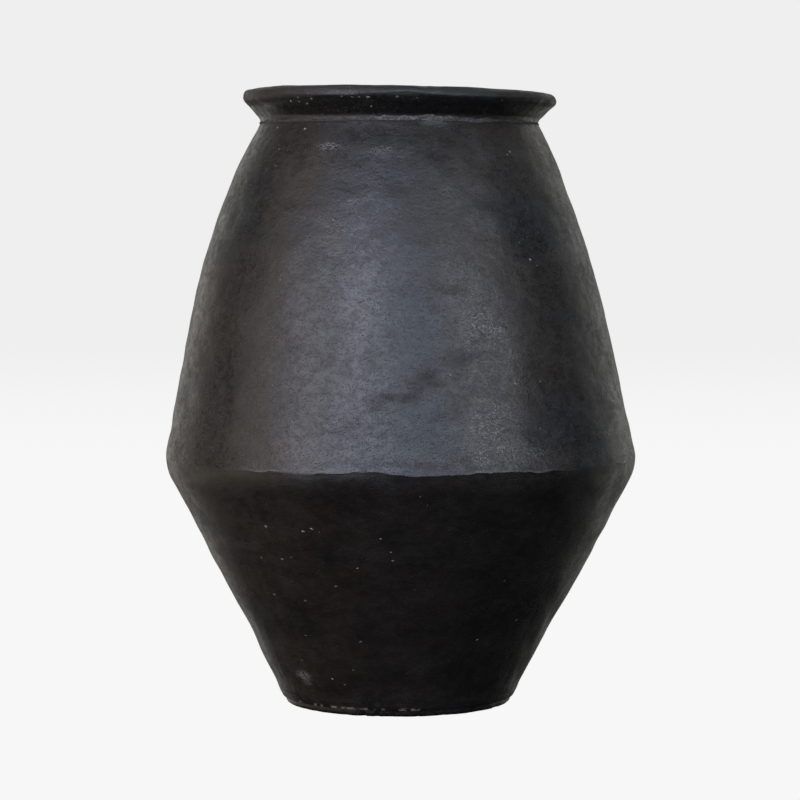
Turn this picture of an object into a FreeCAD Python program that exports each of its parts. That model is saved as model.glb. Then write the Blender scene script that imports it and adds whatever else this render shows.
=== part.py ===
import FreeCAD, Part
import math
import os

# A hand-built floor pot of burnished black clay, in millimetres.
# It stands on z = 0 with its axis on Z. Its clay pieces are turned about that axis:
#   base_slab         flat disc that the pot stands on, with a low heel round its edge
#   base_seam_coil    roll of clay pressed into the inside corner of slab and wall
#   lower_wall        cone that opens from the slab up to the belly
#   belly_seam_coil   roll of clay pressed across the inside of the belly joint
#   upper_wall        wall that closes from the belly in to the neck
#   neck_seam_coil    roll of clay pressed into the crease outside, under the rim
#   rim_collar        flared collar with a rounded lip, and the throat inside it
# The pieces meet face to face, as leather-hard clay is luted with slip.

# Heights above the floor
POT_HEIGHT = 600.0
BELLY_HEIGHT = 236.0  # where the straight lines of the two walls would cross
SHOULDER_HEIGHT = 396.0  # where the upper wall starts to curve in

# Outside radii
BASE_RADIUS = 110.5
BELLY_RADIUS = 233.8  # where the straight lines of the two walls would cross
NECK_RADIUS = 136.5  # at the crease under the rim

# Outline
HEEL_HEIGHT = 7.0
HEEL_ROUND = 3.0
HEEL_STEP = 2.7  # how far the wall stands out over the heel
BELLY_ROUND = 45.0
SHOULDER_SETBACK = 34.7  # how far the shoulder stands inside the belly
RIM_HEIGHT = 28.0  # from the neck crease to the top of the lip
RIM_OVERHANG = 17.7  # how far the lip stands out over the neck crease

# Clay thicknesses
SLAB_THICKNESS = 14.0
LOWER_WALL_THICKNESS = 12.5
UPPER_WALL_THICKNESS = 11.5
NECK_THICKNESS = 11.5
RIM_THICKNESS = 14.0

# Seams
BASE_COIL_LEG = 12.0
BELLY_COIL_LEG = 22.0
BELLY_COIL_BULGE = 2.0
NECK_COIL_REACH = 4.5  # along the wall below the crease, and along the flare above it
NECK_COIL_DEPTH = 6.5  # how far the root of the neck groove lies inside the crease
NECK_COIL_HOLLOW = 1.2  # how far the face of the neck coil is pressed in
NECK_BEVEL_DROP = 6.0  # how far the collar's foot reaches down inside the bevelled wall

AXIS = FreeCAD.Vector(0, 0, 1)
ORIGIN = FreeCAD.Vector(0, 0, 0)


# ---- Geometry of the section, in the XZ plane: x is the radius ----

def at(radius, height):
    return FreeCAD.Vector(radius, 0, height)


def direction(angle):
    """Unit vector at this angle above the horizontal, in radians."""
    return at(math.cos(angle), math.sin(angle))


def unit(start, end):
    """Unit vector from start towards end."""
    return (end - start) / (end - start).Length


def left_of(vector):
    """The vector turned a quarter turn anticlockwise."""
    return at(-vector.z, vector.x)


def offset(start, end, distance):
    """The two end points of a line, moved to its left by the distance."""
    shift = left_of(unit(start, end)) * distance
    return start + shift, end + shift


def crossing(first, second):
    """Where two lines cross, each given by two of its points."""
    along, across = first[1] - first[0], second[1] - second[0]
    gap = second[0] - first[0]
    share = (gap.x * across.z - gap.z * across.x) / (along.x * across.z - along.z * across.x)
    return first[0] + along * share


def at_height(points, height):
    """The point at this height on the line through two points."""
    start, end = points
    return start + (end - start) * ((height - start.z) / (end.z - start.z))


def tangent_radius(start, along, end):
    """Radius of the arc that leaves start in the direction along and passes through end.

    It is positive where the arc turns to the left, and negative where it turns to the right.
    """
    chord = end - start
    return chord.dot(chord) / (2 * chord.dot(left_of(along)))


def turned_about(centre, point, angle):
    """The point turned anticlockwise about the centre, by an angle in radians."""
    spoke = point - centre
    return centre + spoke * math.cos(angle) + left_of(spoke) * math.sin(angle)


def line(start, end):
    return Part.LineSegment(start, end).toShape()


def arc(centre, start, end):
    """The shorter arc from start to end round the centre."""
    spokes = (start - centre) + (end - centre)
    middle = centre + unit(ORIGIN, spokes) * (start - centre).Length
    return Part.Arc(start, middle, end).toShape()


def arc_through(start, middle, end):
    return Part.Arc(start, middle, end).toShape()


def turned(*edges):
    """A solid of revolution about the axis, from the edges of its closed section."""
    section = Part.Face(Part.Wire(list(edges)))
    solid = Part.Solid(section.revolve(ORIGIN, AXIS, 360).Shells[0])
    if solid.Volume < 0:
        solid.reverse()
    return solid


# ---- The outside of the pot ----

FOOT = at(BASE_RADIUS + HEEL_STEP, HEEL_HEIGHT)
BELLY = at(BELLY_RADIUS, BELLY_HEIGHT)
SHOULDER = at(BELLY_RADIUS - SHOULDER_SETBACK, SHOULDER_HEIGHT)
NECK = at(NECK_RADIUS, POT_HEIGHT - RIM_HEIGHT)
LOWER_UP = unit(FOOT, BELLY)
UPPER_UP = unit(BELLY, SHOULDER)

# The belly corner is rounded. The two walls meet where it is widest.
BELLY_TANGENT = BELLY_ROUND * math.tan(math.acos(LOWER_UP.dot(UPPER_UP)) / 2)
ROUND_START = BELLY - LOWER_UP * BELLY_TANGENT
ROUND_END = BELLY + UPPER_UP * BELLY_TANGENT
ROUND_CENTRE = ROUND_START + left_of(LOWER_UP) * BELLY_ROUND
WIDEST = ROUND_CENTRE + at(BELLY_ROUND, 0)

# The shoulder leaves the straight of the upper wall smoothly and runs in to the neck.
SHOULDER_ROUND = tangent_radius(SHOULDER, UPPER_UP, NECK)
SHOULDER_CENTRE = SHOULDER + left_of(UPPER_UP) * SHOULDER_ROUND

# The rim flares from the neck crease to a lip that is a full round of its own thickness.
LIP_ROUND = RIM_THICKNESS / 2
LIP_CENTRE = at(NECK_RADIUS + RIM_OVERHANG - LIP_ROUND, POT_HEIGHT - LIP_ROUND)
TO_LIP = LIP_CENTRE - NECK
FLARE_UP = direction(math.atan2(TO_LIP.z, TO_LIP.x) - math.asin(LIP_ROUND / TO_LIP.Length))
LIP_OUTER = LIP_CENTRE - left_of(FLARE_UP) * LIP_ROUND
LIP_TOP = LIP_CENTRE + FLARE_UP * LIP_ROUND
LIP_INNER = LIP_CENTRE + left_of(FLARE_UP) * LIP_ROUND

# ---- The inside of the pot ----

LOWER_INSIDE = offset(FOOT, BELLY, LOWER_WALL_THICKNESS)
UPPER_INSIDE = offset(BELLY, SHOULDER, UPPER_WALL_THICKNESS)
WALL_FOOT_OUTER = at_height((FOOT, BELLY), SLAB_THICKNESS)
WALL_FOOT_INNER = at_height(LOWER_INSIDE, SLAB_THICKNESS)
BELLY_INNER = crossing(LOWER_INSIDE, UPPER_INSIDE)
SHOULDER_INNER = UPPER_INSIDE[1]
THROAT_FOOT = at(NECK_RADIUS - NECK_THICKNESS, NECK.z - NECK_BEVEL_DROP)
THROAT_TOP = crossing((LIP_INNER, LIP_INNER - FLARE_UP), (THROAT_FOOT, THROAT_FOOT + AXIS))

# ---- The groove under the rim, which the neck coil fills ----

GROOVE_ROOT = at(NECK_RADIUS - NECK_COIL_DEPTH, NECK.z)
GROOVE_BELOW = turned_about(SHOULDER_CENTRE, NECK, -NECK_COIL_REACH / SHOULDER_ROUND)
GROOVE_ABOVE = NECK + FLARE_UP * NECK_COIL_REACH


# ---- The pieces ----

def base_slab():
    heel_bottom = at(BASE_RADIUS - HEEL_ROUND, 0)
    heel_side = at(BASE_RADIUS, HEEL_ROUND)
    heel_top = at(BASE_RADIUS, HEEL_HEIGHT)
    middle_top = at(0, SLAB_THICKNESS)
    return turned(
        line(ORIGIN, heel_bottom),
        arc(heel_bottom + at(0, HEEL_ROUND), heel_bottom, heel_side),
        line(heel_side, heel_top),
        line(heel_top, FOOT),
        line(FOOT, WALL_FOOT_OUTER),
        line(WALL_FOOT_OUTER, middle_top),
        line(middle_top, ORIGIN),
    )


def base_seam_coil():
    """A hollow fillet with two equal legs, one on the slab and one on the inside of the wall."""
    on_slab = WALL_FOOT_INNER - at(BASE_COIL_LEG, 0)
    on_wall = WALL_FOOT_INNER + LOWER_UP * BASE_COIL_LEG
    centre = crossing((on_slab, on_slab + AXIS), (on_wall, on_wall + left_of(LOWER_UP)))
    return turned(
        line(on_slab, WALL_FOOT_INNER),
        line(WALL_FOOT_INNER, on_wall),
        arc(centre, on_wall, on_slab),
    )


def lower_wall():
    return turned(
        line(WALL_FOOT_INNER, WALL_FOOT_OUTER),
        line(WALL_FOOT_OUTER, ROUND_START),
        arc(ROUND_CENTRE, ROUND_START, WIDEST),
        line(WIDEST, BELLY_INNER),
        line(BELLY_INNER, WALL_FOOT_INNER),
    )


def belly_seam_coil():
    """A pad across the inside of the belly joint, whose face bulges a little inwards."""
    low = BELLY_INNER - LOWER_UP * BELLY_COIL_LEG
    high = BELLY_INNER + UPPER_UP * BELLY_COIL_LEG
    face = (low + high) / 2 + left_of(unit(low, high)) * BELLY_COIL_BULGE
    return turned(
        line(BELLY_INNER, high),
        arc_through(high, face, low),
        line(low, BELLY_INNER),
    )


def upper_wall():
    inner_round = tangent_radius(SHOULDER_INNER, UPPER_UP, THROAT_FOOT)
    inner_centre = SHOULDER_INNER + left_of(UPPER_UP) * inner_round
    return turned(
        line(BELLY_INNER, WIDEST),
        arc(ROUND_CENTRE, WIDEST, ROUND_END),
        line(ROUND_END, SHOULDER),
        arc(SHOULDER_CENTRE, SHOULDER, GROOVE_BELOW),
        line(GROOVE_BELOW, GROOVE_ROOT),
        line(GROOVE_ROOT, THROAT_FOOT),
        arc(inner_centre, THROAT_FOOT, SHOULDER_INNER),
        line(SHOULDER_INNER, BELLY_INNER),
    )


def neck_seam_coil():
    """A roll that fills the groove, with a face that a finger pressed slightly hollow."""
    inwards = left_of(unit(GROOVE_BELOW, GROOVE_ABOVE))
    face = (GROOVE_BELOW + GROOVE_ABOVE) / 2 + inwards * NECK_COIL_HOLLOW
    return turned(
        line(GROOVE_ROOT, GROOVE_BELOW),
        arc_through(GROOVE_BELOW, face, GROOVE_ABOVE),
        line(GROOVE_ABOVE, GROOVE_ROOT),
    )


def rim_collar():
    return turned(
        line(THROAT_FOOT, GROOVE_ROOT),
        line(GROOVE_ROOT, GROOVE_ABOVE),
        line(GROOVE_ABOVE, LIP_OUTER),
        arc_through(LIP_OUTER, LIP_TOP, LIP_INNER),
        line(LIP_INNER, THROAT_TOP),
        line(THROAT_TOP, THROAT_FOOT),
    )


PIECES = (
    base_slab,
    base_seam_coil,
    lower_wall,
    belly_seam_coil,
    upper_wall,
    neck_seam_coil,
    rim_collar,
)

os.makedirs("parts", exist_ok=True)
for make_piece in PIECES:
    piece = make_piece()
    piece.exportStep(f"parts/{make_piece.__name__}.step")
    print(f"{make_piece.__name__}: {piece.Volume / 1000:.1f} cm3, valid {piece.isValid()}")
print(f"Throat: radius {THROAT_FOOT.x:.2f}, from z {THROAT_FOOT.z:.2f} to {THROAT_TOP.z:.2f}")
print(f"Outside at the widest: radius {WIDEST.x:.2f}, z {WIDEST.z:.2f}")
print(f"Inside of the belly: radius {BELLY_INNER.x:.2f}, z {BELLY_INNER.z:.2f}")
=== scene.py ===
import math

import bpy
import numpy as np
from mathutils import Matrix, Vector


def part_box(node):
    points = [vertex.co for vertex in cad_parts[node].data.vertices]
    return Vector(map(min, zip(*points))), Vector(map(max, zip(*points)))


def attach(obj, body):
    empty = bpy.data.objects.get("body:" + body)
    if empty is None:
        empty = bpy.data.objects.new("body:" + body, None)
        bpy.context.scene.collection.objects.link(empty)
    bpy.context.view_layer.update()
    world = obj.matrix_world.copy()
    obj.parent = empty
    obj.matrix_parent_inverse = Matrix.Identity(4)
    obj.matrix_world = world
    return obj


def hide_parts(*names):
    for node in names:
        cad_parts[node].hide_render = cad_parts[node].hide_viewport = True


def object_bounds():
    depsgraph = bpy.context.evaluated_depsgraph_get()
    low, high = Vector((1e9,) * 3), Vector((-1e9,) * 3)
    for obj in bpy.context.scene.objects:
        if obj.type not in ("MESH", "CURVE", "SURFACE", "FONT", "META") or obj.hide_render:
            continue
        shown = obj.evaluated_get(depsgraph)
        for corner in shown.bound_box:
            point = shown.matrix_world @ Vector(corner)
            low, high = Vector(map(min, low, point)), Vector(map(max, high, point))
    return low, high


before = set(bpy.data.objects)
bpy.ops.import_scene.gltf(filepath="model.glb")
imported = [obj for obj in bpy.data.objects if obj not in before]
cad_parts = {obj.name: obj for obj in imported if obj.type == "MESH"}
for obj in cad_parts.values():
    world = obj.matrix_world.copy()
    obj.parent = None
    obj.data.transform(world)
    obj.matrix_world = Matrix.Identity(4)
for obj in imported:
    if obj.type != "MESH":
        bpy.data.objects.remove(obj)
CAD_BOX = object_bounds()

# Looks for a hand-built floor pot of burnished black clay. Each CAD piece gets a closed shell of
# its own that follows the CAD piece's section, with the waver, dabs, ragged seams and chips of
# hand work added. Lengths are in metres, or in millimetres where MM follows or a comment says so.
# An angle of 0 is the front, on -Y, and angles grow towards +X, in degrees where they are
# given as numbers.

MM = 0.001
TAU = 2 * math.pi
BODY = "root"
WALL_RADIUS = 200 * MM  # widths of noise cells and lumps on the wall are true at this radius


# ---- Noise on the wall of the pot ----

def noise(theta, height, seed, cell_width, cell_height):
    """Smooth noise from -1 to 1 that closes on itself round the pot.

    The cells are as wide as cell_width at WALL_RADIUS, and as tall as cell_height.
    """
    around = max(3, round(TAU * WALL_RADIUS / cell_width))
    rows = int(1.5 / cell_height) + 4
    lattice = np.random.default_rng(seed).uniform(-1, 1, (rows, around))
    u = np.mod(theta / TAU, 1.0) * around
    v = np.clip(height / cell_height + 2, 0, rows - 2)
    column, row = np.floor(u).astype(int), np.floor(v).astype(int)
    fu, fv = u - column, v - row
    fu, fv = (f * f * f * (f * (6 * f - 15) + 10) for f in (fu, fv))
    left, right = column % around, (column + 1) % around
    low = lattice[row, left] * (1 - fu) + lattice[row, right] * fu
    high = lattice[row + 1, left] * (1 - fu) + lattice[row + 1, right] * fu
    return low * (1 - fv) + high * fv


def ease(value, start, end):
    """0 before start and 1 after end, with a smooth step between. It falls where end < start."""
    t = np.clip((value - start) / (end - start), 0, 1)
    return t * t * (3 - 2 * t)


def angle_from(theta, degrees):
    """The signed angle from a place round the pot, in radians, the short way round."""
    return np.mod(theta - math.radians(degrees) + math.pi, TAU) - math.pi


def lump(theta, height, degrees, centre, half_width, half_height):
    """A smooth bump of height 1 round one place on the wall; its sizes are lengths."""
    across = angle_from(theta, degrees) * WALL_RADIUS / half_width
    up = (height - centre) / half_height
    return np.exp(-(across**2 + up**2))


# ---- Sections of the CAD pieces ----

CORNER_TURN = math.radians(18)


def cad_outline(node):
    """The section of a CAD piece as (radius, height) points, with the clay on their left.

    The CAD pieces are turned about Z, so the section is where the mesh meets the XZ plane.
    A piece that reaches the axis gives an outline that starts and ends there.
    """
    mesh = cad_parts[node].data
    points, place = [], {}
    for vertex in mesh.vertices:
        x, y, z = vertex.co
        if abs(y) < 1e-6 and x > -1e-6:
            key = (round(x, 6), round(z, 6))
            if key not in points:
                points.append(key)
            place[vertex.index] = points.index(key)
    links = {i: set() for i in range(len(points))}
    for edge in mesh.edges:
        a, b = (place.get(i) for i in edge.vertices)
        if a is not None and b is not None and a != b:
            links[a].add(b)
            links[b].add(a)
    ends = [i for i in links if len(links[i]) == 1]
    start = min(ends or links, key=lambda i: (points[i][1], points[i][0]))
    chain, seen = [start], {start}
    while True:
        following = [i for i in sorted(links[chain[-1]]) if i not in seen]
        if not following:
            break
        chain.append(following[0])
        seen.add(following[0])
    outline = [points[i] for i in chain]
    if ends:
        outline = [(0.0, outline[0][1])] + outline + [(0.0, outline[-1][1])]
    outline = np.array(outline)
    following = np.roll(outline, -1, 0)
    if np.sum(outline[:, 0] * following[:, 1] - following[:, 0] * outline[:, 1]) < 0:
        outline = outline[::-1]
    return outline, not ends


def smooth_curve(points):
    """A dense smooth line through the points, with its length along it at each point."""
    steps = np.linalg.norm(np.diff(points, axis=0), axis=1)
    slopes = np.diff(points, axis=0) / steps[:, None]
    tangents = [slopes[0]]
    for i in range(1, len(points) - 1):
        before, after = steps[i - 1], steps[i]
        if max(before, after) > 2.5 * min(before, after):  # a straight part meets an arc
            tangents.append(slopes[i - 1] if before > after else slopes[i])
        else:
            tangents.append((slopes[i - 1] * after + slopes[i] * before) / (before + after))
    tangents.append(slopes[-1])
    dense = []
    for i, step in enumerate(steps):
        t = np.linspace(0, 1, max(2, round(step / (0.4 * MM))), endpoint=False)[:, None]
        a, b, m, n = points[i], points[i + 1], tangents[i] * step, tangents[i + 1] * step
        dense.append(
            (2 * t**3 - 3 * t**2 + 1) * a + (t**3 - 2 * t**2 + t) * m
            + (3 * t**2 - 2 * t**3) * b + (t**3 - t**2) * n
        )
    dense = np.vstack(dense + [points[-1:]])
    lengths = np.concatenate([[0], np.cumsum(np.linalg.norm(np.diff(dense, axis=0), axis=1))])
    return dense, lengths


class Face:
    """One smooth stretch of a piece's section, between two corners."""

    def __init__(self, points):
        self.curve, self.lengths = smooth_curve(points)
        self.length = self.lengths[-1]
        self.middle = self.at(np.array([self.length / 2]))[0]
        self.role = "skin"

    def at(self, distance):
        """Points this far along the face. Past an end they go straight on."""
        inside = np.clip(distance, 0, self.length)
        r = np.interp(inside, self.lengths, self.curve[:, 0])
        z = np.interp(inside, self.lengths, self.curve[:, 1])
        first = self.curve[1] - self.curve[0]
        last = self.curve[-1] - self.curve[-2]
        before = np.minimum(distance, 0)[..., None] * first / np.linalg.norm(first)
        after = np.maximum(distance - self.length, 0)[..., None] * last / np.linalg.norm(last)
        return np.stack([r, z], -1) + before + after

    def normal(self, distance):
        """Unit normals out of the piece, at these distances along the face."""
        step = 0.6 * MM
        along = self.at(np.minimum(distance + step, self.length)) - self.at(
            np.maximum(distance - step, 0)
        )
        along /= np.linalg.norm(along, axis=-1, keepdims=True)
        return np.stack([along[..., 1], -along[..., 0]], -1)


def cad_faces(node):
    """The faces of a piece's section, in order, and whether the section is a closed loop."""
    outline, closed = cad_outline(node)
    if closed:
        steps = np.roll(outline, -1, 0) - outline
        heading = np.arctan2(steps[:, 1], steps[:, 0])
        turns = np.mod(heading - np.roll(heading, 1) + math.pi, TAU) - math.pi
        corners = np.nonzero(np.abs(turns) > CORNER_TURN)[0]
        outline = np.roll(outline, -corners[0], 0)
        corners = list(corners - corners[0]) + [len(outline)]
        outline = np.vstack([outline, outline[:1]])
    else:
        steps = np.diff(outline, axis=0)
        heading = np.arctan2(steps[:, 1], steps[:, 0])
        turns = np.mod(np.diff(heading) + math.pi, TAU) - math.pi
        corners = [0] + list(np.nonzero(np.abs(turns) > CORNER_TURN)[0] + 1)
        corners.append(len(outline) - 1)
    return [Face(outline[a:b + 1]) for a, b in zip(corners, corners[1:])], closed


NODES = sorted(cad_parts)
SECTIONS = {node: cad_faces(node) for node in NODES}


def mark_joints():
    """A face whose middle lies on another piece's section is a luted joint, which never shows."""
    for node, (faces, _) in SECTIONS.items():
        others = np.vstack([f.curve for n in NODES if n != node for f in SECTIONS[n][0]])
        for face in faces:
            if np.linalg.norm(others - face.middle, axis=1).min() < 0.5 * MM:
                face.role = "joint"


mark_joints()


# ---- The outside of the pot as one line, from the foot up over the lip ----

def skin_of(node, outward):
    """The longest visible face of a piece whose radius grows, or falls, across it."""
    skins = [f for f in SECTIONS[node][0] if f.role == "skin"]
    facing = [f for f in skins if (f.normal(np.array([f.length / 2]))[0][0] > 0) == outward]
    return max(facing, key=lambda f: f.length)


LOWER_SKIN = skin_of("lower_wall", True)
UPPER_SKIN = skin_of("upper_wall", True)
NECK_SKIN = skin_of("neck_seam_coil", True)
RIM_SKIN = skin_of("rim_collar", True)
OUTSIDE = Face(
    np.vstack([LOWER_SKIN.curve, UPPER_SKIN.curve[1:], NECK_SKIN.curve[1:], RIM_SKIN.curve[1:]])
)

# Distances along that line.
BELLY_SEAM = LOWER_SKIN.length
NECK_FOOT = BELLY_SEAM + UPPER_SKIN.length
NECK_HEAD = NECK_FOOT + NECK_SKIN.length
LIP = NECK_HEAD + RIM_SKIN.lengths[int(np.argmax(RIM_SKIN.curve[:, 0]))]

# Heights.
POT_TOP = CAD_BOX[1][2]
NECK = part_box("neck_seam_coil")[0].z


# ---- The hand-made shape ----

def waver(theta, height):
    """How far the whole wall stands out of round, in and outside alike."""
    share = height / POT_TOP
    round_off = (
        0.7 * np.cos(2 * theta + 0.6 + 1.3 * share)
        + 0.6 * np.cos(3 * theta + 2.1 - 2.0 * share)
        + 0.35 * np.cos(5 * theta + 4.0 + 2.6 * share)
    )
    slow = 0.9 * noise(theta, height, 11, 0.17, 0.15)
    return (round_off * (0.5 + 0.5 * share) + slow) * MM * ease(height, -0.02, 0.06)


def ring(height, centre, reach):
    """A smooth ring of height 1 that runs all the way round the pot."""
    return np.exp(-(((height - centre) / reach) ** 2))


def swell(height):
    """Bulges and hollows that run all the way round."""
    heel = 1.4 * ring(height, 0.010, 0.010)
    waist = -1.3 * ring(height, 0.080, 0.025)
    cone = 0.9 * ring(height, 0.135, 0.040)
    shoulder = 1.8 * ring(height, 0.385, 0.060)
    neck = -1.5 * ring(height, 0.570, 0.022)
    return (heel + waist + cone + shoulder + neck) * MM


def lean(height):
    """How far the axis stands to the side at each height, as (x, y)."""
    foot = -2.1 * ring(height, 0.0, 0.075)
    belly = 0.6 * ring(height, 0.22, 0.06)
    bow = -3.5 * ring(height, 0.46, 0.115)
    return (foot + belly + bow) * MM, 0.6 * MM * np.sin(height * 9.0)


def rim_rise(theta, height):
    """The mouth tilts a little, higher on the left, and its lip is not quite level."""
    share = ease(height, NECK - 0.01, POT_TOP)
    tilt = -2.3 * np.sin(theta) + 0.5 * np.cos(theta)
    unlevel = 0.5 * noise(theta, 0 * theta, 21, 0.11, 0.2)
    return (tilt + unlevel) * share * MM


def dabs(theta, height):
    """Shallow facets and finger dabs left by building up and burnishing."""
    facets = 0.46 * noise(theta, height, 31, 0.055, 0.016)
    patches = 0.44 * noise(theta + 5 * height, height, 34, 0.034, 0.030)
    fingers = 0.24 * noise(theta, height, 32, 0.019, 0.017)
    fine = 0.08 * noise(theta, height, 33, 0.0085, 0.0055)
    return (facets + patches + fingers + fine) * MM


def finger_rows(theta, height):
    """Rows of drag marks inside, where the clay was pulled up and smeared by hand."""
    row = 0.9 * noise(theta, height, 41, 0.16, 0.022)
    pull = 0.5 * noise(theta, height, 42, 0.024, 0.060)
    return (row + pull) * MM


# The belly seam: the upper wall laps over the lower wall with a torn, wandering edge. The two
# walls share one crest there, and slide together along the outside line.
LIP_REACH = 12 * MM  # how far from the seam the walls still slide
CREST_REACH = 10 * MM
FLAP = -23.5  # the angle of a tongue of clay on the torn edge
BELLY_RADIUS = round(LOWER_SKIN.curve[:, 0].max() / MM)  # in millimetres


def flap_drop(theta):
    """A tongue of clay that hangs lower than the rest of the torn edge."""
    from_flap = angle_from(theta, FLAP) * BELLY_RADIUS
    skew = 1 + 0.25 * np.tanh(from_flap / 9)
    return 6.6 * MM * np.exp(-((from_flap / 17) ** 4)) * skew


def belly_drop(theta):
    """How far the torn edge of the upper wall hangs below its CAD place, along the wall."""
    rise = 3.0 * np.exp(-((angle_from(theta, -8) * BELLY_RADIUS / 20) ** 2))
    wander = 0.9 * noise(theta, 0 * theta, 51, 0.075, 0.2)
    tear = 0.8 * noise(theta, 0 * theta, 52, 0.017, 0.2)
    nick = 0.6 * noise(theta, 0 * theta, 53, 0.006, 0.2)
    return (wander + tear + nick - rise) * MM + flap_drop(theta)


def belly_crest(theta, along):
    """How far the belly stands out to a crest near the seam. The sides stay rounder."""
    front = 2.4 * np.exp(-((angle_from(theta, 0) / 0.95) ** 4))
    back = 1.8 * np.exp(-((angle_from(theta, 170) / 0.9) ** 4))
    crest = front + back + 0.15 + 0.15 * noise(theta, 0 * theta, 54, 0.04, 0.2)
    crest_line = BELLY_SEAM - belly_drop(theta) + 0.75 * flap_drop(theta)
    return crest * MM * np.exp(-np.abs(along - crest_line) / CREST_REACH)


def belly_bead(theta):
    """How thick the torn edge stands over the lower wall. At the sides it is rubbed flush."""
    flap = -0.15 * np.exp(-((angle_from(theta, FLAP) * BELLY_RADIUS / 18) ** 4))
    right = 0.5 * np.exp(-((angle_from(theta, 30) / 0.24) ** 2))
    rough = 0.25 * noise(theta, 0 * theta, 55, 0.012, 0.2)
    torn = ease(np.abs(angle_from(theta, 0)), 0.90, 0.60)
    torn = torn + 0.8 * ease(np.abs(angle_from(theta, 165)), 0.9, 0.6)
    return np.maximum(0.06 + flap + right + rough, 0) * torn * MM


# ---- Shells ----

def rows_along(length, spacing, fine_at=None):
    """Distances along a face, a spacing apart, and closer together near one place on it."""
    rows = [0.0]
    while rows[-1] < length:
        step = spacing
        if fine_at is not None:
            step = min(spacing, max(0.7 * MM, 0.4 * abs(rows[-1] - fine_at)))
        rows.append(rows[-1] + step)
    rows = np.array(rows[:-1])
    if length - rows[-1] < 0.4 * MM:
        rows = rows[:-1]
    return np.append(rows, length)


def fade_ends(length, distance, reach):
    """0 at both ends of a face and 1 further in."""
    return ease(distance, 0, reach) * ease(length - distance, 0, reach)


class Shell:
    """A closed skin round one CAD piece, with its maker's marks on it."""

    columns = 560
    node = slot = ""
    coats = ("burnished_clay", "inner_clay")  # its outer and its inner material
    outer_spacing = 3.0 * MM
    inner_spacing = 9.0 * MM
    joint_spacing = 6.0 * MM
    start = None  # where the piece's outer skin starts on the outside line
    fine_at = None  # where its rows lie closest together, along that skin

    def __init__(self, name):
        self.name = name
        self.faces, self.closed = SECTIONS[self.node]

    def outer_rows(self, face, theta_line):
        """The outer skin, laid along the outside line of the whole pot."""
        distances = rows_along(face.length, self.outer_spacing, self.fine_at)
        theta, distance = np.meshgrid(theta_line, distances)
        along = self.start + distance + self.slide(theta, distance)
        height = face.at(distance)[..., 1]
        stand = self.outer_relief(theta, distance, height, face.length)
        return OUTSIDE.at(along) + OUTSIDE.normal(along) * stand[..., None]

    def other_rows(self, face, theta_line):
        """An inner skin or a joint, laid along its own face."""
        spacing = self.joint_spacing if face.role == "joint" else self.inner_spacing
        theta, distance = np.meshgrid(theta_line, rows_along(face.length, spacing))
        points = face.at(distance)
        if face.role == "joint":
            return points
        stand = self.inner_relief(theta, distance, points[..., 1], face.length)
        return points + face.normal(distance) * stand[..., None]

    def slide(self, theta, distance):
        """How far the outer skin moves along the outside line."""
        return 0 * theta

    def outer_relief(self, theta, distance, height, length):
        """How far the outer skin stands out."""
        return 0 * theta

    def inner_relief(self, theta, distance, height, length):
        """How far the inner skin stands out."""
        return finger_rows(theta, height) * fade_ends(length, distance, 15 * MM)

    def is_outer(self, face):
        return self.start is not None and face in (LOWER_SKIN, UPPER_SKIN, NECK_SKIN, RIM_SKIN)

    def strip_coats(self, face, rows):
        """Which of the two materials each strip of a face takes."""
        return [0 if self.is_outer(face) else 1] * (len(rows) - 1)

    def build(self):
        theta_line = np.arange(self.columns) * TAU / self.columns
        bands, coats = [], []
        for face in self.faces:
            rows = self.outer_rows if self.is_outer(face) else self.other_rows
            bands.append(rows(face, theta_line))
            coats += self.strip_coats(face, bands[-1])
        return self.revolve(self.join(bands), theta_line, coats)

    def join(self, bands):
        """Stacks the faces' rows. Faces that meet share one row, and a visible face decides it."""
        roles = [self.is_outer(f) + (f.role != "joint") for f in self.faces]
        count = len(bands)
        for i in range(count if self.closed else count - 1):
            j = (i + 1) % count
            if roles[i] == roles[j]:
                bands[i][-1] = bands[j][0] = (bands[i][-1] + bands[j][0]) / 2
            elif roles[i] > roles[j]:
                bands[j][0] = bands[i][-1]
            else:
                bands[i][-1] = bands[j][0]
        stacked = [bands[0]] + [band[1:] for band in bands[1:]]
        section = np.vstack(stacked)
        return section[:-1] if self.closed else section

    def revolve(self, section, theta_line, coats):
        """Turns the rows of (radius, height) into a mesh, and adds what moves the whole wall."""
        theta = np.broadcast_to(theta_line, section.shape[:2])
        radius, height = section[..., 0], section[..., 1]
        on_axis = radius[:, 0] < 1e-6
        radius = radius + (waver(theta, height) + swell(height)) * ease(radius, 0, 0.09)
        aside = lean(height)
        x = radius * np.sin(theta) + aside[0]
        y = -radius * np.cos(theta) + aside[1]
        grid = np.stack([x, y, height + rim_rise(theta, height)], -1)
        count, columns = section.shape[:2]
        vertices, index = [], np.zeros((count, columns), int)
        for row in range(count):
            if on_axis[row]:
                index[row] = len(vertices)
                vertices.append(grid[row].mean(0))
            else:
                index[row] = len(vertices) + np.arange(columns)
                vertices.extend(grid[row])
        faces, face_coats = [], []
        for row, coat in enumerate(coats):
            below, above = index[row], index[(row + 1) % count]
            for quad in zip(below, np.roll(below, -1), np.roll(above, -1), above):
                corners = tuple(int(i) for i in dict.fromkeys(quad))
                if len(corners) > 2:
                    faces.append(corners)
                    face_coats.append(coat)
        mesh = bpy.data.meshes.new(self.name)
        mesh.from_pydata(vertices, [], faces)
        mesh.polygons.foreach_set("use_smooth", np.ones(len(faces), bool))
        mesh.polygons.foreach_set("material_index", face_coats)
        mesh.update()
        mesh.set_sharp_from_angle(angle=math.radians(48))
        shell = bpy.data.objects.new(self.name, mesh)
        bpy.context.scene.collection.objects.link(shell)
        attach(shell, BODY)
        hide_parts(self.node)
        return shell


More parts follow.
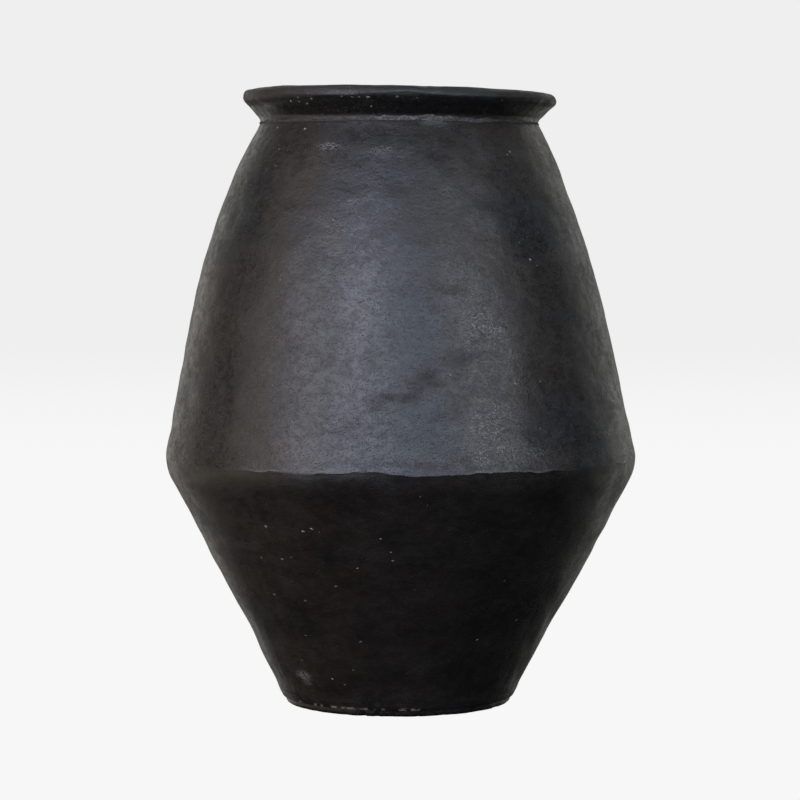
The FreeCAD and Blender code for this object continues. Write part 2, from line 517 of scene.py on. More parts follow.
class LowerShell(Shell):
    node, slot = "lower_wall", "smoked_clay"
    coats = ("smoked_clay", "inner_clay")
    start = 0.0
    fine_at = BELLY_SEAM

    def slide(self, theta, distance):
        return -belly_drop(theta) * np.exp((distance - BELLY_SEAM) / LIP_REACH)

    def outer_relief(self, theta, distance, height, length):
        crest = belly_crest(theta, distance + self.slide(theta, distance))
        return crest + dabs(theta, height) * fade_ends(length, distance, 4 * MM)


class UpperShell(Shell):
    node, slot = "upper_wall", "burnished_clay"
    start = BELLY_SEAM
    fine_at = 0.0

    def slide(self, theta, distance):
        return -belly_drop(theta) * np.exp(-distance / LIP_REACH)

    def outer_relief(self, theta, distance, height, length):
        crest = belly_crest(theta, self.start + distance + self.slide(theta, distance))
        bead = belly_bead(theta) * ease(distance, 0, 0.9 * MM) * np.exp(-distance / (4 * MM))
        return crest + bead + dabs(theta, height) * fade_ends(length, distance, 4 * MM)


class NeckSeam(Shell):
    node, slot = "neck_seam_coil", "scraped_clay"
    coats = ("scraped_clay", "inner_clay")
    start = NECK_FOOT
    outer_spacing = 0.6 * MM
    joint_spacing = 3.0 * MM

    def slide(self, theta, distance):
        """The coil was smeared, ragged, down over the shoulder and up under the rim."""
        ragged = noise(theta, 0 * theta, 73, 0.009, 0.2)
        ragged = ragged + 0.7 * noise(theta, 0 * theta, 74, 0.004, 0.2)
        down = -0.5 + 0.6 * noise(theta, 0 * theta, 72, 0.030, 0.2)
        up = -4.7 + 0.9 * ragged + 2.9 * lump(theta, 0 * theta, 8, 0, 0.085, 1)
        smeared = 2.6 * lump(theta, 0 * theta, 32, 0, 0.028, 1)
        share = distance / NECK_SKIN.length
        return (up * share - (down + smeared) * (1 - share)) * MM

    def outer_relief(self, theta, distance, height, length):
        share = distance / length
        lumps = 0.30 + 0.35 * noise(theta, height, 71, 0.009, 0.004)
        blobs = 0.5 * ease(noise(theta, height, 75, 0.006, 0.004), 0.2, 0.8)
        thick = ease(share, 0, 0.25) * ease(share, 1, 0.75)
        return ((lumps + blobs) * thick - 0.25 * (1 - thick)) * MM


class Rim(Shell):
    node, slot = "rim_collar", "burnished_clay"
    start = NECK_HEAD
    fine_at = LIP - NECK_HEAD - 1.5 * MM
    outer_spacing = 1.1 * MM
    joint_spacing = 4.0 * MM
    inner_spacing = 3.0 * MM

    def slide(self, theta, distance):
        """The rim's clay comes down behind the smeared coil."""
        return -5.6 * MM * np.exp(-distance / (8 * MM))

    def outer_relief(self, theta, distance, height, length):
        front = np.exp(-((angle_from(theta, 3) / 0.66) ** 6))
        wander = 1.3 * noise(theta, 0 * theta, 63, 0.034, 0.2)
        wander = wander + 0.5 * noise(theta, 0 * theta, 64, 0.010, 0.2)
        wander = wander + 2.6 * np.exp(-((angle_from(theta, 5) / 0.15) ** 2))
        past_crest = distance - (LIP - NECK_HEAD) + (1.4 - wander) * MM
        patchy = 0.75 + 0.5 * noise(theta, 0 * theta, 65, 0.028, 0.2)
        crest = (0.15 + 0.60 * front * patchy) * np.exp(-np.abs(past_crest) / (1.7 * MM))
        brow = 0.35 * front * np.exp(-(((past_crest - 4.5 * MM) / (1.8 * MM)) ** 2))
        bevel = -0.8 * ease(past_crest, -0.5 * MM, 5 * MM) * ease(past_crest, 11 * MM, 6 * MM)
        bevel = bevel * front * (1 - 0.75 * np.exp(-((angle_from(theta, 5) / 0.11) ** 2)))
        hollow = -0.5 * np.exp(-(((past_crest + 8 * MM) / (6 * MM)) ** 2))
        strokes = 0.20 * noise(theta, distance, 66, 0.032, 0.0026)
        wobble = 0.35 * noise(theta, distance, 61, 0.045, 0.012)
        fine = 0.12 * noise(theta, distance, 62, 0.010, 0.006)
        marks = crest + brow + bevel + hollow + strokes + wobble + fine
        return marks * MM * fade_ends(length, distance, 3 * MM)

    def inner_relief(self, theta, distance, height, length):
        return 0 * theta


class Base(Shell):
    node, slot = "base_slab", "smoked_clay"
    coats = ("smoked_clay", "inner_clay")
    columns = 480
    inner_spacing = 1.6 * MM

    def strip_coats(self, face, rows):
        """The heel takes the outer material, and the underside and the inside the other."""
        heel = face.curve[:, 0].max() - 4 * MM
        return [int(row[0, 0] < heel) for row in rows[:-1]]

    def inner_relief(self, theta, distance, height, length):
        """Underneath it is gritty and a little hollow; its edge is chipped."""
        under = ease(height, 7 * MM, 0)
        hollow = -0.5 * ease(distance, 100 * MM, 60 * MM)
        grit = -0.25 * (1 + noise(theta, distance, 91, 0.016, 0.008))
        chips = -1.0 * ease(noise(theta, 0 * theta, 92, 0.012, 0.2), 0.45, 0.9)
        edge = ease(distance, length - 12 * MM, length - 4 * MM)
        grit = grit * ease(distance, 0, 30 * MM)
        return under * (hollow + grit + chips * edge) * MM


class BaseSeam(Shell):
    node, slot = "base_seam_coil", "inner_clay"
    coats = ("inner_clay", "inner_clay")
    columns = 240
    inner_spacing = 4.0 * MM

    def inner_relief(self, theta, distance, height, length):
        pressed = 0.6 * noise(theta, distance, 81, 0.022, 0.012)
        return pressed * MM * fade_ends(length, distance, 4 * MM)


class BellySeam(BaseSeam):
    node = "belly_seam_coil"
    columns = 320


# ---- Marks on the surface: soft masks, kept on the meshes for the materials ----

def paint(piece, name, amount):
    """Keeps a mask on a piece. amount gives it from the angle and height of each point."""
    points = np.empty(len(piece.data.vertices) * 3)
    piece.data.vertices.foreach_get("co", points)
    x, y, z = points.reshape(-1, 3).T
    mask = piece.data.attributes.new(name, "FLOAT", "POINT")
    mask.data.foreach_set("value", np.clip(amount(np.arctan2(x, -y), z), 0, 1))


def scraped_marks(theta, height):
    """Patches where the burnish is scratched dull and grey on the right, and small scuffs."""
    upper = 1.1 * lump(theta, height, 22, 0.376, 0.019, 0.027)
    lower = 1.45 * lump(theta, height, 23, 0.288, 0.018, 0.023)
    foot = 0.7 * lump(theta, height, 20, 0.256, 0.050, 0.010)
    between = 0.3 * lump(theta, height, 24, 0.335, 0.020, 0.060)
    high = 0.35 * lump(theta, height, 16, 0.430, 0.035, 0.030)
    torn = 0.75 + 0.75 * noise(theta + 2 * height, height, 101, 0.013, 0.012)
    scuff = 1.3 * lump(theta, height, -26, 0.544, 0.014, 0.0035)
    faint = 0.6 * lump(theta, height, -6, 0.540, 0.018, 0.004)
    return (upper + lower + foot + between + high) * torn + scuff + faint


def sheen_marks(theta, height):
    """Where the stone rubbed the clay brightest, left of the middle."""
    bright = lump(theta, height, -9.5, 0.390, 0.013, 0.045) + 0.6 * lump(
        theta, height, -14, 0.300, 0.030, 0.040
    )
    torn = 0.8 + 0.6 * noise(theta, height, 105, 0.012, 0.014)
    return bright * torn


def dull_marks(theta, height):
    """Slanting smudges in the burnish, where it was knocked while damp."""
    rise = 2.0 * MM * np.degrees(angle_from(theta, 3))  # 2 mm for each degree to the right
    slant = height - 0.321 - rise
    across = angle_from(theta, 3) * WALL_RADIUS / 0.046
    knocked = 1.2 * np.exp(-((slant / 0.011) ** 2 + across**2))
    upper = 0.7 * lump(theta, height, 15, 0.408, 0.030, 0.008)
    seam = 0.6 * lump(theta, height, 6, 0.252, 0.060, 0.007)
    torn = 0.6 + 0.9 * noise(theta - 2.5 * height, height, 106, 0.016, 0.006)
    flap = 1.6 * lump(theta, height, FLAP, 0.236, 0.018, 0.0045)
    lip = 0.5 * ease(height, 0.583, 0.588) * (1 + 0.6 * noise(theta, height, 107, 0.022, 0.006))
    return (knocked + upper + seam) * torn + flap + lip


def dusty_marks(theta, height):
    """Where crumbs of pale clay stick to the surface."""
    return (
        0.12 + 0.14 * noise(theta, height, 102, 0.05, 0.04)
        + 0.5 * lump(theta, height, -35, 0.185, 0.035, 0.020)
        + 0.3 * lump(theta, height, -60, 0.500, 0.040, 0.060)
    )


def smeared_marks(theta, height):
    """Pale smears low on the wall, and chips of rubbed clay along the foot."""
    smear = lump(theta, height, -45, 0.038, 0.012, 0.0035) + 0.7 * lump(
        theta, height, -44, 0.031, 0.007, 0.002
    )
    foot = ease(height, 0.0100, 0.0085) * ease(height, 0.0060, 0.0070)
    foot = foot * ease(np.abs(angle_from(theta, -32)), 1.0, 0.6)
    neck = lump(theta, height, 6, 0.572, 0.085, 0.020)
    return smear + neck + foot * ease(noise(theta, 0 * theta, 103, 0.007, 0.2), -0.1, 0.5)


def painted_shade_marks(theta, height):
    """Painted shade: darker under the rim and round the foot."""
    rim = ease(height, 0.573, 0.575) * ease(height, 0.5925, 0.5900)
    return rim + ease(height, 0.0090, 0.0075)


def brown_marks(theta, height):
    """Where the lower wall is browner: mostly on its left side."""
    return 0.25 + 0.75 * np.exp(-((angle_from(theta, -45) / 0.75) ** 2))


def edge_wear_and_glint(theta, height):
    """The rubbed lip of the belly seam: brown wear on the left, and a painted highlight on the
    right, a bright glint along the edge.
    """
    low = OUTSIDE.at(BELLY_SEAM - belly_drop(theta))[..., 1]
    line = np.exp(-(((height - low - 0.5 * MM) / (1.0 * MM)) ** 2)) * (height > low - 0.4 * MM)
    left = 0.40 * np.exp(-((angle_from(theta, -33) / 0.09) ** 2))
    right = 1.5 * np.exp(-((angle_from(theta, 22) / 0.07) ** 2))
    far_right = 0.45 * np.exp(-((angle_from(theta, 33) / 0.12) ** 2))
    patchy = 0.65 + 0.45 * noise(theta, 0 * theta, 104, 0.010, 0.2)
    return line * (left + right + far_right) * patchy


# Patches where crumbs of pale clay stuck to a piece: how many, between which angles, between
# which heights, and their usual radius, both in millimetres.
CRUMB_PATCHES = {
    "rim": (
        (8, (-44, -30), (583, 591), 0.9),
        (5, (-24, -10), (580, 589), 0.9),
        (3, (-4, 8), (584, 589), 0.9),
        (1, (38, 42), (583, 587), 0.9),
    ),
    "upper_shell": (
        (5, (-70, -30), (500, 565), 0.9),
        (4, (10, 45), (300, 440), 0.9),
        (2, (40, 50), (530, 545), 0.9),
    ),
    "lower_shell": (
        (10, (-45, -20), (100, 190), 0.9),
        (7, (-20, 15), (90, 195), 0.8),
        (6, (-45, -5), (25, 80), 0.8),
        (4, (18, 45), (35, 185), 0.8),
    ),
}


def scatter(name):
    """The angle, height, radius and paleness of each crumb on a piece."""
    random = np.random.default_rng(200 + len(name))
    for count, angles, heights, usual in CRUMB_PATCHES[name]:
        for _ in range(count):
            degrees, height = random.uniform(*angles), random.uniform(*heights) * MM
            yield degrees, height, usual * random.uniform(0.7, 1.9) * MM, random.uniform(0.35, 1)


SHELLS = {
    shell.name: shell
    for shell in (
        Base("base"),
        BaseSeam("base_seam"),
        LowerShell("lower_shell"),
        BellySeam("belly_seam"),
        UpperShell("upper_shell"),
        NeckSeam("neck_seam"),
        Rim("rim"),
    )
}
pieces = {name: shell.build() for name, shell in SHELLS.items()}
for piece in pieces.values():
    paint(piece, "scraped", scraped_marks)
    paint(piece, "dusty", dusty_marks)
    paint(piece, "smeared", smeared_marks)
    paint(piece, "sheen", sheen_marks)
    paint(piece, "dull", dull_marks)
    paint(piece, "painted_shade", painted_shade_marks)
    paint(piece, "brown", brown_marks)
    paint(piece, "edge", edge_wear_and_glint)


def on_skin(piece, degrees, height):
    """The point of a piece's outer skin nearest to this angle and height."""
    points = np.empty(len(piece.data.vertices) * 3)
    piece.data.vertices.foreach_get("co", points)
    points = points.reshape(-1, 3)
    radius = np.hypot(points[:, 0], points[:, 1])
    across = angle_from(np.arctan2(points[:, 0], -points[:, 1]), degrees) * radius
    away = np.hypot(across, points[:, 2] - height)
    near = away < away.min() + 4 * MM
    return points[near][np.argmin(away[near] - radius[near])]


# ---- Materials ----

class Clay:
    """A clay made of shader nodes. Each helper adds a node and returns its output."""

    def __init__(self, name):
        self.material = bpy.data.materials.new(name)
        self.material.use_nodes = True
        self.nodes = self.material.node_tree.nodes
        self.links = self.material.node_tree.links
        self.shader = self.nodes["Principled BSDF"]
        self.place = self.nodes.new("ShaderNodeTexCoord").outputs["Object"]

    def feed(self, socket, value):
        """Links an output to a socket, or sets the socket to a plain value."""
        if isinstance(value, bpy.types.NodeSocket):
            self.links.new(value, socket)
        else:
            socket.default_value = value

    def math(self, operation, a, b=0.0, c=0.0):
        node = self.nodes.new("ShaderNodeMath")
        node.operation = operation
        for socket, value in zip(node.inputs, (a, b, c)):
            self.feed(socket, value)
        return node.outputs[0]

    def grade(self, value, start, end, low=0.0, high=1.0):
        """Runs from low to high as the value goes from start to end."""
        node = self.nodes.new("ShaderNodeMapRange")
        node.interpolation_type = "SMOOTHSTEP"
        for socket, number in zip(node.inputs, (value, start, end, low, high)):
            self.feed(socket, number)
        return node.outputs["Result"]

    def cells(self, wide, tall):
        """Places on the wall, scaled so that one unit is this wide and this tall."""
        node = self.nodes.new("ShaderNodeMapping")
        self.feed(node.inputs["Vector"], self.place)
        node.inputs["Scale"].default_value = (1 / wide, 1 / wide, 1 / tall)
        return node.outputs["Vector"]

    def noise(self, wide, tall, detail=2.0, roughness=0.5, warp=0.0):
        node = self.nodes.new("ShaderNodeTexNoise")
        self.feed(node.inputs["Vector"], self.cells(wide, tall))
        node.inputs["Scale"].default_value = 1.0
        node.inputs["Detail"].default_value = detail
        node.inputs["Roughness"].default_value = roughness
        node.inputs["Distortion"].default_value = warp
        return node.outputs["Fac"]

    def dots(self, spacing, share, size):
        """Small round spots of different sizes, in a share of the cells of a loose lattice."""
        node = self.nodes.new("ShaderNodeTexVoronoi")
        self.feed(node.inputs["Vector"], self.cells(spacing, spacing))
        node.inputs["Scale"].default_value = 1.0
        split = self.nodes.new("ShaderNodeSeparateColor")
        self.links.new(node.outputs["Color"], split.inputs["Color"])
        chosen = self.math("LESS_THAN", split.outputs["Red"], share)
        reach = self.math("MULTIPLY_ADD", split.outputs["Green"], size, 0.5 * size)
        inside = self.math("LESS_THAN", node.outputs["Distance"], reach)
        return self.math("MULTIPLY", chosen, inside)

    def crumbs(self, name):
        """The crumbs on a piece, each a flat ragged smear."""
        flatness = 0.65
        fray = 4 * MM
        frayed = self.nodes.new("ShaderNodeTexNoise")
        self.feed(frayed.inputs["Vector"], self.cells(0.0018, 0.0012))
        frayed.inputs["Scale"].default_value = 1.0
        shift = self.nodes.new("ShaderNodeVectorMath")
        shift.operation = "MULTIPLY_ADD"
        self.feed(shift.inputs[0], frayed.outputs["Color"])
        shift.inputs[1].default_value = (fray, fray, fray)
        self.feed(shift.inputs[2], self.cells(1.0, flatness))
        found = 0.0
        for degrees, height, radius, paleness in scatter(name):
            x, y, z = on_skin(pieces[name], degrees, height)
            away = self.nodes.new("ShaderNodeVectorMath")
            away.operation = "DISTANCE"
            self.feed(away.inputs[0], shift.outputs["Vector"])
            away.inputs[1].default_value = Vector((x, y, z / flatness)) + Vector([fray / 2] * 3)
            here = self.grade(away.outputs["Value"], 0.4 * radius, 1.2 * radius, paleness, 0.0)
            found = self.math("MAXIMUM", found, here)
        return found

    def mask(self, name):
        node = self.nodes.new("ShaderNodeAttribute")
        node.attribute_name = name
        return node.outputs["Fac"]

    def mix(self, share, a, b):
        node = self.nodes.new("ShaderNodeMix")
        node.data_type = "RGBA"
        self.feed(node.inputs["Factor"], share)
        for socket, color in ((node.inputs["A"], a), (node.inputs["B"], b)):
            self.feed(socket, (*color, 1) if isinstance(color, tuple) else color)
        return node.outputs["Result"]

    def add_up(self, *amounts):
        total = amounts[0]
        for amount in amounts[1:]:
            total = self.math("ADD", total, amount)
        return total

    def finish(self, color, roughness, relief):
        """relief is a height in millimetres."""
        self.feed(self.shader.inputs["Base Color"], color)
        self.feed(self.shader.inputs["Roughness"], roughness)
        bump = self.nodes.new("ShaderNodeBump")
        bump.inputs["Distance"].default_value = 1 * MM
        self.links.new(relief, bump.inputs["Height"])
        self.links.new(bump.outputs["Normal"], self.shader.inputs["Normal"])
        return self.material


COOL_BLACK = (0.0112, 0.0112, 0.0116)
WARM_BLACK = (0.0168, 0.0136, 0.0110)
MOTTLE = (0.032, 0.030, 0.029)
SOOT = (0.0060, 0.0052, 0.0047)
# painted shade under the rim and round the foot
PAINTED_SHADE_BLACK = (0.004, 0.0037, 0.0035)
SMOKE_BROWN = (0.0130, 0.0090, 0.0068)
BLOOM = (0.026, 0.0215, 0.0185)
SCRATCH_GREY = (0.140, 0.135, 0.129)
CRUMB = (0.27, 0.245, 0.215)
# brown of the worn seam lip, also the colour of its painted glint on the right
RUBBED_BROWN_AND_GLINT = (0.190, 0.170, 0.145)
SMEARED = (0.17, 0.15, 0.13)
COIL_DARK = (0.0090, 0.0082, 0.0075)
COIL_BROWN = (0.032, 0.0275, 0.0235)
COIL_PALE = (0.125, 0.113, 0.102)
INSIDE_DARK = (0.018, 0.0162, 0.0150)
INSIDE_BROWN = (0.036, 0.029, 0.024)
INSIDE_PALE = (0.075, 0.064, 0.054)


def add_crumbs(clay, color, stuck):
    """Adds crumbs of pale clay, and a few small strays where the surface is dusty.

    Returns the new color and where the crumbs are.
    """
    dusty = clay.grade(clay.mask("dusty"), 0.05, 0.5, 0.0, 0.22)
    strays = clay.dots(0.0062, dusty, 0.085)
    crumbs = clay.math("MAXIMUM", stuck, clay.math("MULTIPLY", strays, 0.45))
    return clay.mix(crumbs, color, CRUMB), crumbs


def burnished_clay():
    """Black clay rubbed to a satin sheen, with dabs, nicks, pits, scratches and crumbs."""
    clay = Clay("burnished_clay")
    cloud = clay.grade(clay.noise(0.13, 0.10, 3.0), 0.38, 0.62)
    color = clay.mix(cloud, COOL_BLACK, WARM_BLACK)
    mottle = clay.grade(clay.noise(0.010, 0.007, 3.0, 0.6), 0.52, 0.75, 0.0, 0.35)
    color = clay.mix(mottle, color, MOTTLE)
    tooth = clay.noise(0.0020, 0.0015, 3.0, 0.7)
    scratches = clay.noise(0.0060, 0.0036, 3.0, 0.65, 2.6)
    broken = clay.grade(clay.math("MULTIPLY_ADD", tooth, 0.6, scratches), 0.76, 0.94)
    scraped = clay.math("MULTIPLY", clay.mask("scraped"), broken)
    color = clay.mix(scraped, color, SCRATCH_GREY)
    # painted shade under the rim
    color = clay.mix(clay.mask("painted_shade"), color, PAINTED_SHADE_BLACK)
    # the seam lip: brown wear on the left, a painted highlight (glint) on the right
    edge = clay.math("MULTIPLY", clay.mask("edge"), clay.grade(tooth, 0.35, 0.55))
    color = clay.mix(edge, color, RUBBED_BROWN_AND_GLINT)
    stuck = clay.math("MAXIMUM", clay.crumbs("rim"), clay.crumbs("upper_shell"))
    color, crumbs = add_crumbs(clay, color, stuck)
    nicks = clay.grade(clay.noise(0.0046, 0.0028, 1.0, 0.5, 2.6), 0.60, 0.70)
    dull = clay.mask("dull")
    roughness = clay.add_up(
        clay.grade(clay.noise(0.050, 0.040, 3.0, 0.6), 0.3, 0.7, 0.32, 0.43),
        clay.grade(clay.noise(0.009, 0.006, 3.0, 0.65, 0.5), 0.35, 0.65, -0.07, 0.09),
        clay.math("MULTIPLY", clay.mask("sheen"), -0.09),
        clay.math("MULTIPLY", dull, 0.30),
        clay.math("MULTIPLY", scraped, 0.20),
        clay.math("MULTIPLY", crumbs, 0.30),
    )
    patch = clay.grade(clay.noise(0.030, 0.024, 2.0), 0.35, 0.65, 0.35, 1.0)
    strokes = clay.noise(0.0100, 0.0050, 3.0, 0.6, 1.6)
    relief = clay.add_up(
        clay.math("MULTIPLY", strokes, clay.math("MULTIPLY", patch, 0.24)),
        clay.math("MULTIPLY", clay.noise(0.0048, 0.0038, 2.0, 0.5, 0.6), 0.25),
        clay.math("MULTIPLY", tooth, clay.math("MULTIPLY_ADD", dull, 0.08, 0.105)),
        clay.math("MULTIPLY", nicks, clay.math("MULTIPLY_ADD", dull, -0.20, -0.13)),
        clay.math("MULTIPLY", clay.math("MULTIPLY", scraped, scratches), 0.14),
        clay.math("MULTIPLY", clay.dots(0.0048, 0.18, 0.15), -0.14),
    )
    return clay.finish(color, roughness, relief)


def smoked_clay():
    """The duller, sootier clay of the lower wall and foot."""
    clay = Clay("smoked_clay")
    cloud = clay.grade(clay.noise(0.050, 0.040, 4.0, 0.6), 0.30, 0.66)
    color = clay.mix(clay.math("MULTIPLY", cloud, clay.mask("brown")), SOOT, SMOKE_BROWN)
    tooth = clay.noise(0.0024, 0.0018, 3.0, 0.7)
    bloom = clay.grade(clay.noise(0.014, 0.008, 4.0, 0.7, 0.5), 0.58, 0.76, 0.0, 0.40)
    color = clay.mix(bloom, color, BLOOM)
    # painted shade round the foot
    color = clay.mix(clay.mask("painted_shade"), color, PAINTED_SHADE_BLACK)
    rubbed = clay.math("MULTIPLY", clay.mask("smeared"), clay.grade(tooth, 0.40, 0.56))
    color = clay.mix(rubbed, color, SMEARED)
    color, crumbs = add_crumbs(clay, color, clay.crumbs("lower_shell"))
    roughness = clay.add_up(
        clay.grade(clay.noise(0.04, 0.03, 3.0), 0.3, 0.7, 0.37, 0.46),
        clay.grade(clay.noise(0.010, 0.007, 3.0, 0.6), 0.35, 0.65, -0.03, 0.07),
        clay.math("MULTIPLY", rubbed, 0.25),
        clay.math("MULTIPLY", crumbs, 0.25),
    )
    nicks = clay.grade(clay.noise(0.0060, 0.0026, 1.0, 0.5, 2.0), 0.62, 0.70)
    relief = clay.add_up(
        clay.math("MULTIPLY", clay.noise(0.014, 0.0040, 3.0, 0.6, 0.8), 0.12),
        clay.math("MULTIPLY", clay.noise(0.0055, 0.0042, 2.0), 0.12),
        clay.math("MULTIPLY", tooth, 0.04),
        clay.math("MULTIPLY", nicks, -0.05),
        clay.math("MULTIPLY", clay.dots(0.0060, 0.20, 0.18), -0.20),
    )
    return clay.finish(color, roughness, relief)


def scraped_clay():
    """The dry grey-brown clay of the coil luted into the neck."""
    clay = Clay("scraped_clay")
    tooth = clay.noise(0.0026, 0.0016, 3.0, 0.7)
    cloud = clay.grade(clay.noise(0.022, 0.008, 3.0, 0.6), 0.36, 0.64)
    color = clay.mix(cloud, COIL_DARK, COIL_BROWN)
    pale = clay.math("MULTIPLY_ADD", clay.mask("smeared"), 0.75, 0.15)
    rubbed = clay.math("MULTIPLY", clay.grade(tooth, 0.46, 0.62), pale)
    color = clay.mix(rubbed, color, COIL_PALE)
    relief = clay.add_up(
        clay.math("MULTIPLY", tooth, 0.16),
        clay.math("MULTIPLY", clay.noise(0.007, 0.0018, 2.0, 0.5, 0.8), 0.22),
    )
    return clay.finish(color, clay.grade(tooth, 0.3, 0.7, 0.62, 0.85), relief)


def inner_clay():
    """The unburnished inside, smoked dull black and brown."""
    clay = Clay("inner_clay")
    tooth = clay.noise(0.0030, 0.0020, 3.0, 0.7)
    cloud = clay.grade(clay.noise(0.07, 0.03, 3.0), 0.35, 0.65)
    color = clay.mix(cloud, INSIDE_DARK, INSIDE_BROWN)
    color = clay.mix(clay.grade(tooth, 0.55, 0.75, 0.0, 0.4), color, INSIDE_PALE)
    relief = clay.add_up(
        clay.math("MULTIPLY", clay.noise(0.030, 0.0040, 2.0), 0.30),
        clay.math("MULTIPLY", tooth, 0.06),
    )
    return clay.finish(color, clay.grade(tooth, 0.3, 0.7, 0.66, 0.86), relief)


MATERIALS = {
    "burnished_clay": burnished_clay(),
    "smoked_clay": smoked_clay(),
    "scraped_clay": scraped_clay(),
    "inner_clay": inner_clay(),
}
for name, shell in SHELLS.items():
    for coat in dict.fromkeys(shell.coats):
        pieces[name].data.materials.append(MATERIALS[coat])


# ---- Stage, light and camera ----

WALL_TONE = 0.863
FLOOR_TONE = 0.930
ROOM_DARK = (0.010, 0.010, 0.010, 1)
ROOM_GLOW = (0.38, 0.38, 0.355, 1)
POT_MIDDLE = Vector((0, 0, 0.3))
PANEL_DISTANCE = 4.0


def make_floor():
    """A wide pale floor that only the camera sees; it pales into the background far away."""
    spokes = 96
    radii = (0.3, 1.0, 3.0, 9.0, 30.0)
    vertices = [(0, 0, 0)]
    for radius in radii:
        for i in range(spokes):
            turn = TAU * i / spokes
            vertices.append((radius * math.cos(turn), radius * math.sin(turn), 0))
    faces = [(0, 1 + i, 1 + (i + 1) % spokes) for i in range(spokes)]
    for band in range(len(radii) - 1):
        near, far = 1 + band * spokes, 1 + (band + 1) * spokes
        for i in range(spokes):
            j = (i + 1) % spokes
            faces.append((near + i, far + i, far + j, near + j))
    mesh = bpy.data.meshes.new("floor")
    mesh.from_pydata(vertices, [], faces)
    floor = bpy.data.objects.new("floor", mesh)
    bpy.context.scene.collection.objects.link(floor)
    for ray in ("visible_diffuse", "visible_glossy", "visible_transmission", "visible_shadow"):
        setattr(floor, ray, False)
    material = bpy.data.materials.new("floor_paper")
    material.use_nodes = True
    nodes, links = material.node_tree.nodes, material.node_tree.links
    nodes.clear()
    place = nodes.new("ShaderNodeNewGeometry")
    distance = nodes.new("ShaderNodeVectorMath")
    distance.operation = "LENGTH"
    fade = nodes.new("ShaderNodeMapRange")
    fade.interpolation_type = "SMOOTHERSTEP"
    fade.inputs["From Min"].default_value = 1.2
    fade.inputs["From Max"].default_value = 10.0
    tone = nodes.new("ShaderNodeMix")
    tone.data_type = "RGBA"
    tone.inputs["A"].default_value = (FLOOR_TONE, FLOOR_TONE, FLOOR_TONE, 1)
    tone.inputs["B"].default_value = (WALL_TONE, WALL_TONE, WALL_TONE, 1)
    glow = nodes.new("ShaderNodeEmission")
    output = nodes.new("ShaderNodeOutputMaterial")
    links.new(place.outputs["Position"], distance.inputs[0])
    links.new(distance.outputs["Value"], fade.inputs["Value"])
    links.new(fade.outputs["Result"], tone.inputs["Factor"])
    links.new(tone.outputs["Result"], glow.inputs["Color"])
    links.new(glow.outputs["Emission"], output.inputs["Surface"])
    mesh.materials.append(material)


def make_world():
    """Pale to the camera. As light it is a dim glow behind the pot, and dark elsewhere."""
    world = bpy.data.worlds.new("room")
    bpy.context.scene.world = world
    world.use_nodes = True
    nodes, links = world.node_tree.nodes, world.node_tree.links
    nodes.clear()
    direction = nodes.new("ShaderNodeTexCoord")
    split = nodes.new("ShaderNodeSeparateXYZ")
    links.new(direction.outputs["Generated"], split.inputs[0])
    shares = []
    for axis, start, end in (("Y", 0.45, 0.85), ("Z", -0.45, -0.20)):
        share = nodes.new("ShaderNodeMapRange")
        share.interpolation_type = "SMOOTHSTEP"
        share.inputs["From Min"].default_value = start
        share.inputs["From Max"].default_value = end
        links.new(split.outputs[axis], share.inputs["Value"])
        shares.append(share.outputs["Result"])
    behind = nodes.new("ShaderNodeMath")
    behind.operation = "MULTIPLY"
    links.new(shares[0], behind.inputs[0])
    links.new(shares[1], behind.inputs[1])
    tone = nodes.new("ShaderNodeMix")
    tone.data_type = "RGBA"
    tone.inputs["A"].default_value = ROOM_DARK
    tone.inputs["B"].default_value = ROOM_GLOW
    links.new(behind.outputs[0], tone.inputs["Factor"])
    room = nodes.new("ShaderNodeBackground")
    links.new(tone.outputs["Result"], room.inputs["Color"])
    backdrop = nodes.new("ShaderNodeBackground")
    backdrop.inputs["Color"].default_value = (WALL_TONE, WALL_TONE, WALL_TONE, 1)
    path = nodes.new("ShaderNodeLightPath")
    mix = nodes.new("ShaderNodeMixShader")
    output = nodes.new("ShaderNodeOutputWorld")
    links.new(path.outputs["Is Camera Ray"], mix.inputs["Fac"])
    links.new(room.outputs[0], mix.inputs[1])
    links.new(backdrop.outputs[0], mix.inputs[2])
    links.new(mix.outputs[0], output.inputs["Surface"])


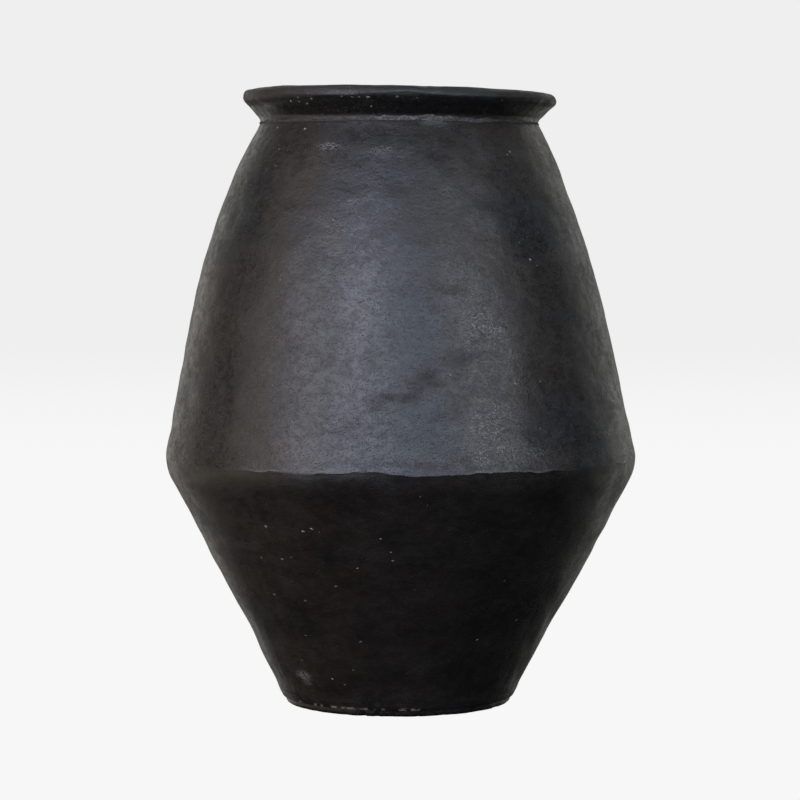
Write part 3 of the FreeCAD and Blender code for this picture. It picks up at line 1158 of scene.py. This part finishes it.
def add_panel(name, around, rise, brightness, tint):
    """A soft light panel facing the pot, seen from it over these angles around and upwards."""
    turn, lift = (math.radians(sum(pair) / 2) for pair in (around, rise))
    width = PANEL_DISTANCE * math.radians(around[1] - around[0]) * math.cos(lift)
    height = PANEL_DISTANCE * math.radians(rise[1] - rise[0])
    light = bpy.data.lights.new(name, "AREA")
    light.shape = "RECTANGLE"
    light.size, light.size_y = width, height
    light.energy = brightness * math.pi * width * height
    light.color = tint
    panel = bpy.data.objects.new(name, light)
    bpy.context.scene.collection.objects.link(panel)
    ahead = Vector(
        (math.sin(turn) * math.cos(lift), -math.cos(turn) * math.cos(lift), math.sin(lift))
    )
    panel.location = POT_MIDDLE + ahead * PANEL_DISTANCE
    panel.rotation_euler = (-ahead).to_track_quat("-Z", "Y").to_euler()
    panel.visible_camera = False


make_floor()
make_world()
# Each panel: its angles around and upwards, its brightness and its tint.
add_panel("window_left", (-62, -34), (-6, 36), 3.3, (1.03, 1.0, 1.10))
add_panel("window", (-34, -4), (-4, 44), 4.1, (0.94, 1.0, 1.24))
add_panel("window_right", (-4, 28), (6, 40), 2.3, (0.84, 1.0, 1.28))
add_panel("door", (28, 64), (-2, 38), 2.7, (0.97, 1.0, 1.08))
add_panel("warm_wall", (-88, -60), (-10, 36), 1.1, (1.22, 1.0, 0.78))
add_panel("floor_left", (-125, -45), (-30, -8), 0.66, (1.14, 1.0, 0.78))
add_panel("side_right", (114, 150), (-30, 40), 0.32, (1.0, 1.0, 0.97))
add_panel("skylight_back", (135, 225), (34, 56), 1.0, (1.0, 1.0, 1.02))
add_panel("skylight_right", (65, 135), (50, 74), 0.9, (1.0, 1.0, 1.02))
add_panel("skylight_left", (-135, -65), (50, 74), 0.9, (1.0, 1.0, 1.02))
add_panel("side_left", (-160, -122), (-28, 24), 0.40, (1.04, 1.0, 0.92))

CAMERA_DISTANCE = 2.9
CAMERA_HEIGHT = 0.464
AIM_HEIGHT = 0.2978
FOCAL_LENGTH = 132.28  # in millimetres, on a sensor 36 mm wide

camera_data = bpy.data.cameras.new("camera")
camera_data.lens = FOCAL_LENGTH
camera_data.sensor_width = 36
camera_data.clip_end = 100
camera = bpy.data.objects.new("camera", camera_data)
bpy.context.scene.collection.objects.link(camera)
camera.location = (0, -CAMERA_DISTANCE, CAMERA_HEIGHT)
view = Vector((0, 0, AIM_HEIGHT)) - camera.location
camera.rotation_euler = view.to_track_quat("-Z", "Y").to_euler()
bpy.context.scene.camera = camera
bpy.context.scene.view_settings.view_transform = "Standard"
